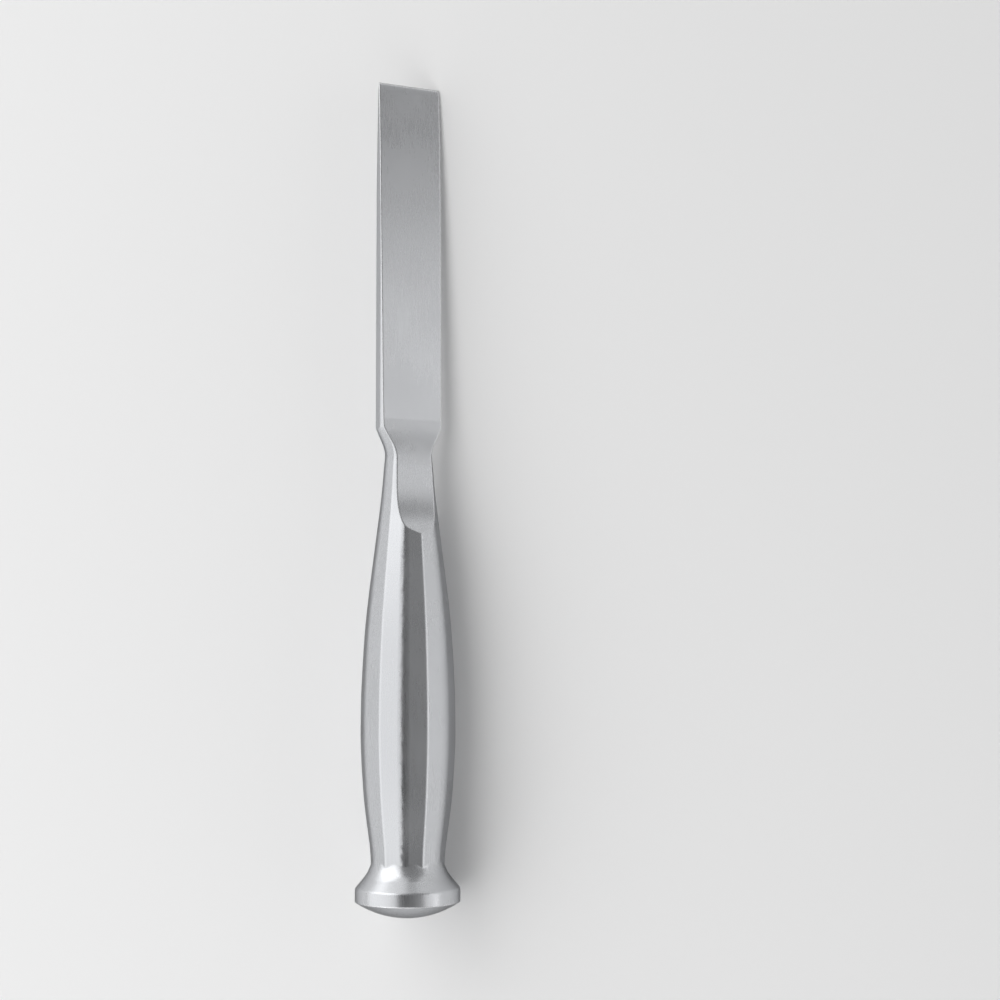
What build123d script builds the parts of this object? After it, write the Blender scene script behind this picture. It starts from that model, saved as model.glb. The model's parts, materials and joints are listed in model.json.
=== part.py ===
from build123d import *
import math
import os

os.makedirs("parts", exist_ok=True)

# Sizes in millimetres. While it is made the tool stands upright: the striking face's crown is at
# the origin, the axis is +Z, the blade's two faces look along +Y and -Y and its width is along X.
overall_length = 205.0

# Head: a domed striking face, a short straight rim, then a cone that blends into the waist from
# a little inside it.
rim_radius = 12.8
rim_height = 3.1
rim_round = 1.1
dome_radius = 22.9
flare_half_angle = 39.5
flare_blend = 9.0
flare_inset = 0.5

# Handle: twelve ground facets that follow a swell. The radius is over the ridges.
waist_at = 14.4
waist_radius = 9.06
belly_at = 46.0
belly_radius = 11.64
neck_at = 111.5
neck_radius = 5.86
crisp_ridge_round = 0.7
soft_ridge_share = 0.48

# Blade: flat sided, ground on both faces to an edge in the middle.
blade_width = 16.35
edge_thickness = 0.08
bevel_length = 1.7
bevel_thickness = 0.6
shoulder_at = 119.0
shoulder_thickness = 4.7
neck_thickness = 6.7
tongue_end_at = 92.6
tongue_end_thickness = 15.8
side_ease = 0.5

# How the thickness grows from the edge, and the places between where the taper is measured.
thickness_power = 0.56
taper_shares = (0.23, 0.58)

# The ramp starts a little above the shoulder and leaves the handle below the tongue's end. Its
# lean is how far it goes out for each millimetre down.
ramp_lead = 2.0
ramp_clear = 12.0
ramp_first_lean = 0.03
ramp_last_lean = 0.5

FACETS = 12
FACET_TURN = 360 / FACETS
flat_share = math.cos(math.radians(FACET_TURN / 2))

# The swell between those places, as shares of the way along and of the change in radius.
rise_to_belly = [(0.16, 0.21), (0.367, 0.558), (0.62, 0.835), (0.81, 0.96)]
fall_to_neck = [(0.122, 0.0225), (0.229, 0.08), (0.344, 0.161), (0.458, 0.287)]
fall_to_neck += [(0.573, 0.446), (0.718, 0.659), (0.855, 0.853)]
rise_to_shoulder = [(0.29, 0.06), (0.645, 0.5)]

dome_height = dome_radius - math.sqrt(dome_radius**2 - rim_radius**2)
rim_top = dome_height + rim_height
cone_rise = 1 / math.tan(math.radians(flare_half_angle))
shoulder_across = blade_width / 2 + side_ease
blade_length = overall_length - shoulder_at
bevel_start = overall_length - bevel_length

# How far cutting shapes reach past the tool.
spare = 10.0
clear_radius = rim_radius + spare


def between(start, end, shares):
    """Stations between two (height, radius) pairs."""
    return [
        (start[0] + (end[0] - start[0]) * along, start[1] + (end[1] - start[1]) * share)
        for along, share in shares
    ]


def facet_outline(height, across, deep):
    """One section of the faceted bar: twelve flats whose ridges are soft and crisp in turn."""
    corners = [
        (
            across * math.cos(math.radians(k * FACET_TURN)),
            deep * math.sin(math.radians(k * FACET_TURN)),
        )
        for k in range(FACETS)
    ]
    soft_ridge_round = soft_ridge_share * min(across, deep)
    with BuildSketch(Plane.XY.offset(height)) as outline:
        with BuildLine():
            FilletPolyline(
                *corners,
                radius=[soft_ridge_round, crisp_ridge_round] * (FACETS // 2),
                close=True,
            )
        make_face()
    return outline.sketch


waist = (waist_at, waist_radius)
belly = (belly_at, belly_radius)
neck = (neck_at, neck_radius)

# The handle starts inside the head.
inside_head = ((rim_top + waist_at) / 2, waist_radius)
handle = [inside_head, waist]
handle += between(waist, belly, rise_to_belly) + [belly]
handle += between(belly, neck, fall_to_neck) + [neck]

# Above the neck only the width grows, out past the blade's ground sides.
shoulder_top = (shoulder_at, shoulder_across)
shoulder = [neck] + between(neck, shoulder_top, rise_to_shoulder) + [shoulder_top]

# Half of the thickness along the tool, seen from the side: edge, bevel, taper, ramp, handle.
ramp_start = shoulder_at + ramp_lead
ramp_end = tongue_end_at - ramp_clear


def half_thickness(share):
    """The blade's half thickness at a share of its length, which grows ever more slowly."""
    return shoulder_thickness / 2 * share**thickness_power


with BuildPart() as osteotome:
    # The forged bar, faceted all along.
    for height, radius in handle:
        add(facet_outline(height, radius, radius))
    loft()
    for height, across in shoulder:
        add(facet_outline(height, across, neck_radius))
    loft()
    extrude(facet_outline(shoulder_at, shoulder_across, neck_radius), blade_length + spare)

    # Both faces: ground down to the edge, and a ramp that runs out on the handle.
    with BuildSketch(Plane.YZ):
        with BuildLine():
            Polyline(
                (0, overall_length),
                (edge_thickness / 2, overall_length),
                (bevel_thickness / 2, bevel_start),
            )
            Spline(
                (bevel_thickness / 2, bevel_start),
                *[(half_thickness(t), overall_length - t * blade_length) for t in taper_shares],
                (shoulder_thickness / 2, ramp_start),
            )
            Spline(
                (shoulder_thickness / 2, ramp_start),
                (neck_thickness / 2, neck_at + ramp_lead / 2),
                (tongue_end_thickness / 2, tongue_end_at),
                (clear_radius, ramp_end),
                tangents=[(ramp_first_lean, -1), (ramp_last_lean, -1)],
            )
            Polyline(
                (clear_radius, ramp_end),
                (clear_radius, -spare),
                (0, -spare),
                (0, overall_length),
            )
        make_face()
        mirror(about=Plane.YZ)
    extrude(amount=clear_radius, both=True, mode=Mode.INTERSECT)

    # Both sides: ground flat and parallel from the shoulder to the edge.
    for side in (-1, 1):
        with Locations((side * (blade_width + spare) / 2, 0, neck_at)):
            Box(
                spare,
                2 * clear_radius,
                blade_length + shoulder_at - neck_at + spare,
                align=(Align.CENTER, Align.CENTER, Align.MIN),
                mode=Mode.SUBTRACT,
            )

    # The turned head, whose blend rises out of the facets.
    inside_waist = waist_radius - flare_inset
    cone_end = rim_top + (rim_radius - inside_waist) * cone_rise
    head_end = cone_end + flare_blend / 2
    with BuildSketch(Plane.XZ) as head:
        with BuildLine():
            RadiusArc((0, 0), (rim_radius, dome_height), -dome_radius)
            Line((rim_radius, dome_height), (rim_radius, rim_top))
            FilletPolyline(
                (rim_radius, rim_top),
                (inside_waist, cone_end),
                (inside_waist, head_end),
                radius=flare_blend,
            )
            Polyline((inside_waist, head_end), (0, head_end), (0, 0))
        make_face()
        fillet(head.vertices().group_by(Axis.X)[-1].sort_by(Axis.Z)[0], rim_round)
    revolve(axis=Axis.Z)


# It can't stand, so it lies on three places: the rim, a soft ridge of the belly and the low corner
# of the blade's end. Rolled too little, the ridge reaches past the plane of the other two.
def corner_drop(roll):
    """How far the blade's low corner is under the axis."""
    turn = math.radians(roll)
    return blade_width / 2 * math.sin(turn) + bevel_thickness / 2 * math.cos(turn)


def table_slope(roll):
    """How steeply the table runs towards the axis, from the rim to that corner."""
    return (rim_radius - corner_drop(roll)) / (bevel_start - rim_top)


def ridge_drop(radius, roll):
    """How far a section's soft ridge is under the axis. It points straight down at one facet."""
    ridge_round = soft_ridge_share * radius
    lean = math.radians(roll - FACET_TURN)
    return (radius - ridge_round / flat_share) * math.cos(lean) + ridge_round


def ridge_clearance(roll):
    """The least room between that ridge and the table, below zero where it reaches past."""
    return min(
        rim_radius - table_slope(roll) * (height - rim_top) - ridge_drop(radius, roll)
        for height, radius in handle
        if height > waist_at
    )


least_roll, most_roll = FACET_TURN, 1.5 * FACET_TURN
while most_roll - least_roll > 0.001:
    lying_roll = (least_roll + most_roll) / 2
    if ridge_clearance(lying_roll) < 0:
        least_roll = lying_roll
    else:
        most_roll = lying_roll

# From upright onto its back, rolled, then the blade end down to the table.
lying_tilt = math.degrees(math.atan(table_slope(lying_roll)))
lying = osteotome.part.moved(
    Rotation(-lying_tilt, 0, 0) * Rotation(0, lying_roll, 0) * Rotation(-90, 0, 0)
)
box = lying.bounding_box()
osteotome.part = lying.moved(Location((-box.center().X, -box.center().Y, -box.min.Z)))

osteotome.part.label = "osteotome"
export_step(osteotome.part, "parts/osteotome.step")
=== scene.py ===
"""Looks of the osteotome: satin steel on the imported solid, laid on a pale table in soft studio light."""

import json
import logging
import math
from dataclasses import dataclass
from enum import Enum

import bpy
from mathutils import Matrix, Vector

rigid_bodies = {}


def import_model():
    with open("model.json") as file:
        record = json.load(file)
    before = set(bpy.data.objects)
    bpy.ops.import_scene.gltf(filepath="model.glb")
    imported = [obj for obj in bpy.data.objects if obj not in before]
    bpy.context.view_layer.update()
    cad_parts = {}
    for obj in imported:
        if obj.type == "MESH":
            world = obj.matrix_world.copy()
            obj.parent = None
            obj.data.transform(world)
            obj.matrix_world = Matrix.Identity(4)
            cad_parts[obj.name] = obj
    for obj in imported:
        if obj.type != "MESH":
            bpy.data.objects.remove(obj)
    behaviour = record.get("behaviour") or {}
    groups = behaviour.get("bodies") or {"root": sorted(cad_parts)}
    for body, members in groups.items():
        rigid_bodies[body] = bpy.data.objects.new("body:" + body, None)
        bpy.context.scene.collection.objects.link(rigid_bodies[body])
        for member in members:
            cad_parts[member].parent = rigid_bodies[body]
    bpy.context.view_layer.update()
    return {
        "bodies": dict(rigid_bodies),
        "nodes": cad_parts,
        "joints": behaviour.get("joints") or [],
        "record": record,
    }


log = logging.getLogger("osteotome")

Colour = tuple[float, float, float]
Span = tuple[float, float]

# Places of a Mix node's sockets, which have the same names for numbers and for colours.
MIX_SHARE = 0
MIX_NUMBER_A = 2
MIX_NUMBER_B = 3
MIX_NUMBER_OUT = 0
MIX_COLOUR_A = 6
MIX_COLOUR_B = 7
MIX_COLOUR_OUT = 2


def grey(level: float) -> tuple[float, float, float, float]:
    """Makes a grey as the shader sockets take it.

    Args:
        level: Its brightness, where 1 is white.

    Returns:
        Red, green, blue and opacity.
    """
    return (level, level, level, 1.0)


class Node(str, Enum):
    """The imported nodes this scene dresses."""

    TOOL = "osteotome"


@dataclass(frozen=True)
class LyingTool:
    """How the tool lies in the row frame: its axis, as the CAD leaves it.

    Attributes:
        crown: The middle of the striking face, in metres.
        tilt_deg: How far the blade end points down.
    """

    crown: tuple[float, float, float] = (0.0, -0.10253, 0.01304)
    tilt_deg: float = 2.017

    @property
    def along(self) -> Vector:
        """Unit vector from the striking face to the cutting edge."""
        tilt = math.radians(self.tilt_deg)
        return Vector((0.0, math.cos(tilt), -math.sin(tilt)))

    @property
    def over(self) -> Vector:
        """Unit vector square to the axis, in the upright plane through it."""
        tilt = math.radians(self.tilt_deg)
        return Vector((0.0, math.sin(tilt), math.cos(tilt)))

    def at(self, distance: float) -> Vector:
        """Finds a point on the axis.

        Args:
            distance: Metres from the striking face.

        Returns:
            The point in the row frame.
        """
        return Vector(self.crown) + self.along * distance


@dataclass(frozen=True)
class CameraSetup:
    """The camera, placed from the tool's own axis.

    Attributes:
        distance: From the axis to the camera, in metres.
        foot: Place on the axis that the camera is square over, from the striking face.
        aim: Place on the axis beside the picture's middle, from the striking face.
        aside: How far the picture's middle is to the right of the axis.
        lean_deg: How far the camera leans to the right of upright.
        lens_mm: Focal length on a 36 mm sensor.
        turn_deg: How far the camera is turned about its line of sight.
        near: Distance at which the camera starts to see, in metres.
    """

    distance: float = 0.477
    foot: float = 0.065
    aim: float = 0.1013
    aside: float = 0.02255
    lean_deg: float = 17.0
    lens_mm: float = 70.0
    turn_deg: float = -0.1
    near: float = 0.01

    def build(self, tool: LyingTool) -> bpy.types.Object:
        """Adds the camera and makes it the scene's.

        Args:
            tool: Where the tool lies.

        Returns:
            The camera object.
        """
        lean = math.radians(self.lean_deg)
        across = Vector((1.0, 0.0, 0.0))
        towards = tool.over * math.cos(lean) + across * math.sin(lean)
        right = across * math.cos(lean) - tool.over * math.sin(lean)
        place = tool.at(self.foot) + towards * self.distance + right * self.aside
        target = tool.at(self.aim) + right * self.aside
        data = bpy.data.cameras.new("camera")
        data.lens = self.lens_mm
        data.clip_start = self.near
        camera = bpy.data.objects.new("camera", data)
        bpy.context.scene.collection.objects.link(camera)
        camera.matrix_world = Matrix.Translation(place) @ self._facing(target - place, tool.along)
        bpy.context.scene.camera = camera
        return camera

    def _facing(self, sight: Vector, head_up: Vector) -> Matrix:
        """Works out the camera's turn.

        Args:
            sight: The way it looks.
            head_up: What points up in the picture.

        Returns:
            The turn as a 4 by 4 matrix.
        """
        forward = sight.normalized()
        upward = (head_up - forward * head_up.dot(forward)).normalized()
        side = forward.cross(upward)
        turn = Matrix((side, upward, -forward)).transposed().to_4x4()
        return turn @ Matrix.Rotation(math.radians(self.turn_deg), 4, "Z")


class Shader:
    """A small helper that lays nodes in one material's tree."""

    def __init__(self, name: str) -> None:
        """Makes an empty node material.

        Args:
            name: The material's name.
        """
        self.material = bpy.data.materials.new(name)
        self.material.use_nodes = True
        self.tree = self.material.node_tree
        self.tree.nodes.clear()

    def node(self, kind: str, **inputs: object) -> bpy.types.Node:
        """Adds a node and sets its sockets and properties.

        Args:
            kind: The node's class name.
            inputs: Property names, or socket names with spaces written as underscores.

        Returns:
            The new node.
        """
        made = self.tree.nodes.new(kind)
        for name, value in inputs.items():
            socket = name.replace("_", " ")
            if socket in made.inputs:
                made.inputs[socket].default_value = value
            else:
                setattr(made, name, value)
        return made

    def link(self, source: bpy.types.NodeSocket, target: bpy.types.NodeSocket) -> None:
        """Joins two sockets.

        Args:
            source: The output socket.
            target: The input socket.
        """
        self.tree.links.new(source, target)

    def ranged(
        self, source: bpy.types.NodeSocket, given: Span, wanted: Span
    ) -> bpy.types.NodeSocket:
        """Maps one range of numbers to another.

        Args:
            source: The number that comes in.
            given: The range that it has.
            wanted: The range that it gets.

        Returns:
            The socket with the mapped number.
        """
        made = self.node(
            "ShaderNodeMapRange",
            From_Min=given[0],
            From_Max=given[1],
            To_Min=wanted[0],
            To_Max=wanted[1],
        )
        self.link(source, made.inputs["Value"])
        return made.outputs["Result"]

    def finish(self, surface: bpy.types.Node) -> bpy.types.Material:
        """Joins the surface to the material's output.

        Args:
            surface: The shader node.

        Returns:
            The finished material.
        """
        out = self.node("ShaderNodeOutputMaterial")
        self.link(surface.outputs["BSDF"], out.inputs["Surface"])
        return self.material


@dataclass(frozen=True)
class SatinSteel:
    """Ground stainless steel: fine lines along the tool, faint cloudiness, brighter worn ridges, and
    painted shade that darkens it at a slant.

    Attributes:
        colour: Reflectance of the ground metal.
        worn_colour: Reflectance of ridges and edges that handling has polished.
        slant_painted_shade: How much of it is left at a slant. This is painted shade: a tint far below
            steel's own, which darkens the metal towards its outline in place of the dark surroundings it
            mirrors there.
        roughness: Middle roughness.
        roughness_spread: How far the roughness wanders.
        worn_smoother: How much less rough the worn ridges are.
        grain_scale: Fineness of the ground lines across the tool, per metre.
        grain_stretch: Their fineness along the tool, as a share of that.
        grain_height: Depth of the ground lines, in metres.
        grain_strength: How much of that depth the light shows.
        grain_detail: Steps of finer lines in the ground lines.
        grain_share: Share of the unevenness that comes from the lines and not from the clouds.
        cloud_scale: Fineness of the cloudiness, per metre.
        cloud_detail: Steps of finer clouds in the cloudiness.
        uneven_span: The range in which nearly all of the unevenness lies.
        wear_reach: How far wear reaches from an edge, in metres.
        wear_turn: How far the surface turns where wear starts and where it is full, as the cosine.
        patch_span: The range of the clouds over which wear goes from least to full.
        least_wear: Wear of an edge where it is least.
        edge_samples: Samples with which edges are looked for.
    """

    colour: Colour = (0.62, 0.63, 0.65)
    worn_colour: Colour = (0.8, 0.805, 0.815)
    # Painted shade: this edge tint darkens the steel towards its outline far more than steel does.
    slant_painted_shade: float = 0.3
    roughness: float = 0.28
    roughness_spread: float = 0.05
    worn_smoother: float = 0.06
    grain_scale: float = 4200.0
    grain_stretch: float = 0.02
    grain_height: float = 0.000004
    grain_strength: float = 0.12
    grain_detail: float = 2.0
    grain_share: float = 0.4
    cloud_scale: float = 60.0
    cloud_detail: float = 5.0
    uneven_span: Span = (0.35, 0.65)
    wear_reach: float = 0.0005
    wear_turn: Span = (0.995, 0.93)
    patch_span: Span = (0.35, 0.6)
    least_wear: float = 0.5
    edge_samples: int = 8

    def build(self) -> bpy.types.Material:
        """Lays out the material.

        Returns:
            The finished material.
        """
        shader = Shader("satin_steel")
        coords = shader.node("ShaderNodeTexCoord")
        grain = self._grain(shader, coords.outputs["Object"])
        cloud = self._cloud(shader, coords.outputs["Object"])
        soft = shader.node("ShaderNodeBevel", samples=self.edge_samples, Radius=self.wear_reach)
        wear = self._wear(shader, soft.outputs["Normal"], cloud)

        surface = shader.node("ShaderNodeBsdfPrincipled", Metallic=1.0)
        # Painted shade: the low edge tint darkens the steel where it turns away, standing in for dark
        # surroundings mirrored at the outline.
        surface.inputs["Specular Tint"].default_value = grey(self.slant_painted_shade)
        tone = self._tone(shader, wear)
        shader.link(tone, surface.inputs["Base Color"])
        rough = self._roughness(shader, grain, cloud, wear)
        shader.link(rough, surface.inputs["Roughness"])
        bump = shader.node(
            "ShaderNodeBump", Strength=self.grain_strength, Distance=self.grain_height
        )
        shader.link(grain, bump.inputs["Height"])
        shader.link(soft.outputs["Normal"], bump.inputs["Normal"])
        shader.link(bump.outputs["Normal"], surface.inputs["Normal"])
        return shader.finish(surface)

    def _grain(self, shader: Shader, place: bpy.types.NodeSocket) -> bpy.types.NodeSocket:
        """Lays the fine ground lines along the tool.

        Args:
            shader: Where the nodes go.
            place: The place on the tool.

        Returns:
            The socket with the lines, from 0 to 1.
        """
        stretch = shader.node("ShaderNodeMapping", Scale=(1.0, self.grain_stretch, 1.0))
        shader.link(place, stretch.inputs["Vector"])
        lines = shader.node(
            "ShaderNodeTexNoise", Scale=self.grain_scale, Detail=self.grain_detail
        )
        shader.link(stretch.outputs["Vector"], lines.inputs["Vector"])
        return lines.outputs["Fac"]

    def _cloud(self, shader: Shader, place: bpy.types.NodeSocket) -> bpy.types.NodeSocket:
        """Lays the wide faint clouds that hands and grinding leave.

        Args:
            shader: Where the node goes.
            place: The place on the tool.

        Returns:
            The socket with the clouds, from 0 to 1.
        """
        clouds = shader.node(
            "ShaderNodeTexNoise", Scale=self.cloud_scale, Detail=self.cloud_detail
        )
        shader.link(place, clouds.inputs["Vector"])
        return clouds.outputs["Fac"]

    def _wear(
        self, shader: Shader, soft: bpy.types.NodeSocket, cloud: bpy.types.NodeSocket
    ) -> bpy.types.NodeSocket:
        """Finds how worn each place is: most where the surface turns sharply, and in patches.

        Args:
            shader: Where the nodes go.
            soft: The rounded normal.
            cloud: The clouds that break the wear up.

        Returns:
            The socket with the wear, from 0 to 1.
        """
        shape = shader.node("ShaderNodeNewGeometry")
        turned = shader.node("ShaderNodeVectorMath", operation="DOT_PRODUCT")
        shader.link(soft, turned.inputs[0])
        shader.link(shape.outputs["Normal"], turned.inputs[1])
        sharp = shader.ranged(turned.outputs["Value"], self.wear_turn, (0.0, 1.0))
        patchy = shader.ranged(cloud, self.patch_span, (self.least_wear, 1.0))
        both = shader.node("ShaderNodeMath", operation="MULTIPLY")
        shader.link(sharp, both.inputs[0])
        shader.link(patchy, both.inputs[1])
        return both.outputs[0]

    def _tone(self, shader: Shader, wear: bpy.types.NodeSocket) -> bpy.types.NodeSocket:
        """Goes from the ground metal to the brighter worn metal.

        Args:
            shader: Where the node goes.
            wear: How worn each place is.

        Returns:
            The socket with the colour.
        """
        tone = shader.node("ShaderNodeMix", data_type="RGBA")
        tone.inputs[MIX_COLOUR_A].default_value = (*self.colour, 1.0)
        tone.inputs[MIX_COLOUR_B].default_value = (*self.worn_colour, 1.0)
        shader.link(wear, tone.inputs[MIX_SHARE])
        return tone.outputs[MIX_COLOUR_OUT]

    def _roughness(
        self,
        shader: Shader,
        grain: bpy.types.NodeSocket,
        cloud: bpy.types.NodeSocket,
        wear: bpy.types.NodeSocket,
    ) -> bpy.types.NodeSocket:
        """Lets the roughness wander with the lines and clouds, less where the metal is worn.

        Args:
            shader: Where the nodes go.
            grain: The ground lines.
            cloud: The clouds.
            wear: How worn each place is.

        Returns:
            The socket with the roughness.
        """
        uneven = shader.node("ShaderNodeMix", data_type="FLOAT")
        uneven.inputs[MIX_SHARE].default_value = self.grain_share
        shader.link(cloud, uneven.inputs[MIX_NUMBER_A])
        shader.link(grain, uneven.inputs[MIX_NUMBER_B])
        least = self.roughness - self.roughness_spread
        most = self.roughness + self.roughness_spread
        rough = shader.ranged(uneven.outputs[MIX_NUMBER_OUT], self.uneven_span, (least, most))
        smoother = shader.node("ShaderNodeMath", operation="MULTIPLY_ADD")
        smoother.inputs[1].default_value = -self.worn_smoother
        shader.link(wear, smoother.inputs[0])
        shader.link(rough, smoother.inputs[2])
        return smoother.outputs[0]


class ToolDress:
    """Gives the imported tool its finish."""

    def __init__(self, frame: dict, steel: SatinSteel) -> None:
        """Keeps what it dresses.

        Args:
            steel: The finish.
        """
        self.node = frame["nodes"][Node.TOOL.value]
        self.steel = steel

    def build(self) -> None:
        """Puts the finish in the node's material slots."""
        material = self.steel.build()
        if not self.node.material_slots:
            self.node.data.materials.append(material)
        for place in self.node.material_slots:
            place.material = material


@dataclass(frozen=True)
class Softbox:
    """One rectangular lamp turned to the tool.

    Attributes:
        name: What it is called.
        around_deg: Where it stands around the tool, from straight up towards +X.
        along_deg: How far it then leans towards the blade end.
        distance: From the tool, in metres.
        wide: Its width around the tool.
        long: Its length along the tool.
        level: Brightness of its face, where 1 is white.
    """

    name: str
    around_deg: float
    along_deg: float
    distance: float
    wide: float
    long: float
    level: float

    def build(self) -> bpy.types.Object:
        """Adds the lamp, turned to the tool.

        Returns:
            The lamp object.
        """
        data = bpy.data.lights.new(self.name, "AREA")
        data.shape = "RECTANGLE"
        data.size = self.wide
        data.size_y = self.long
        # A lamp's power leaves its whole face, spread over the half space before it.
        data.energy = self.level * math.pi * self.wide * self.long
        lamp = bpy.data.objects.new(self.name, data)
        bpy.context.scene.collection.objects.link(lamp)
        turn = Matrix.Rotation(math.radians(self.around_deg), 4, "Y")
        turn = turn @ Matrix.Rotation(-math.radians(self.along_deg), 4, "X")
        lamp.matrix_world = turn @ Matrix.Translation((0.0, 0.0, self.distance))
        return lamp


@dataclass(frozen=True)
class Table:
    """The flat pale top that the tool lies on.

    Attributes:
        reach: Half of its side, in metres.
        tone: Its grey, where 1 is white.
        roughness: How matt it is.
    """

    reach: float = 0.7
    tone: float = 0.92
    roughness: float = 0.8

    def build(self) -> None:
        """Adds the table."""
        bpy.ops.object.select_all(action="DESELECT")
        bpy.ops.mesh.primitive_plane_add(size=2 * self.reach, location=(0.0, 0.0, 0.0))
        table = bpy.context.object
        table.name = "table"
        shader = Shader("table_white")
        surface = shader.node("ShaderNodeBsdfPrincipled", Roughness=self.roughness)
        surface.inputs["Base Color"].default_value = grey(self.tone)
        table.data.materials.append(shader.finish(surface))


@dataclass(frozen=True)
class Room:
    """Pale walls all round under a dim ceiling, which is also what the steel mirrors.

    Attributes:
        levels: Brightness, where 1 is white, from eye level to overhead. Each comes after the
            upward share of its direction.
        spare_stop: Where a new stop of the ramp is made, before it gets its own place.
    """

    levels: tuple[Span, ...] = (
        (0.0, 0.92),
        (0.12, 0.78),
        (0.23, 0.3),
        (0.8, 0.25),
        (0.95, 0.1),
    )
    spare_stop: float = 0.5

    def build(self) -> None:
        """Makes the room the scene's world."""
        world = bpy.data.worlds.new("room")
        bpy.context.scene.world = world
        world.use_nodes = True
        tree = world.node_tree
        tree.nodes.clear()
        coords = tree.nodes.new("ShaderNodeTexCoord")
        split = tree.nodes.new("ShaderNodeSeparateXYZ")
        ramp = tree.nodes.new("ShaderNodeValToRGB")
        back = tree.nodes.new("ShaderNodeBackground")
        out = tree.nodes.new("ShaderNodeOutputWorld")
        stops = ramp.color_ramp.elements
        while len(stops) < len(self.levels):
            stops.new(self.spare_stop)
        for stop, (upward, level) in zip(stops, self.levels):
            stop.position = upward
            stop.color = grey(level)
        tree.links.new(coords.outputs["Generated"], split.inputs["Vector"])
        tree.links.new(split.outputs["Z"], ramp.inputs["Fac"])
        tree.links.new(ramp.outputs["Color"], back.inputs["Color"])
        tree.links.new(back.outputs["Background"], out.inputs["Surface"])


@dataclass(frozen=True)
class Studio:
    """Everything around the tool: table, room and lamps.

    The left lamp lights the left facets and the right lamp the blade's face. The front facets
    mirror the dim ceiling between the two, and the lamps at the ends light the head and the neck.

    Attributes:
        table: The table.
        room: The room.
        lamps: The softboxes.
    """

    table: Table = Table()
    room: Room = Room()
    lamps: tuple[Softbox, ...] = (
        Softbox(
            name="left_lamp",
            around_deg=-39.0,
            along_deg=0.0,
            distance=0.75,
            wide=1.1,
            long=2.2,
            level=0.98,
        ),
        Softbox(
            name="right_lamp",
            around_deg=71.0,
            along_deg=-7.0,
            distance=0.75,
            wide=0.44,
            long=0.76,
            level=0.64,
        ),
        Softbox(
            name="blade_end_lamp",
            around_deg=-50.0,
            along_deg=52.0,
            distance=1.0,
            wide=1.2,
            long=1.2,
            level=0.6,
        ),
        Softbox(
            name="head_end_lamp",
            around_deg=-10.0,
            along_deg=-62.0,
            distance=1.0,
            wide=1.1,
            long=0.7,
            level=1.05,
        ),
    )

    def build(self) -> None:
        """Builds everything that is not the tool."""
        self.table.build()
        self.room.build()
        for lamp in self.lamps:
            lamp.build()


def main() -> None:
    logging.basicConfig(level=logging.INFO, format="%(name)s %(message)s")
    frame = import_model()
    ToolDress(frame, SatinSteel()).build()
    log.info("steel on %s", Node.TOOL.value)
    Studio().build()
    CameraSetup().build(LyingTool())
    bpy.context.scene.view_settings.view_transform = "Standard"
    log.info("table, lamps and camera placed")


if __name__ == "__main__":
    main()
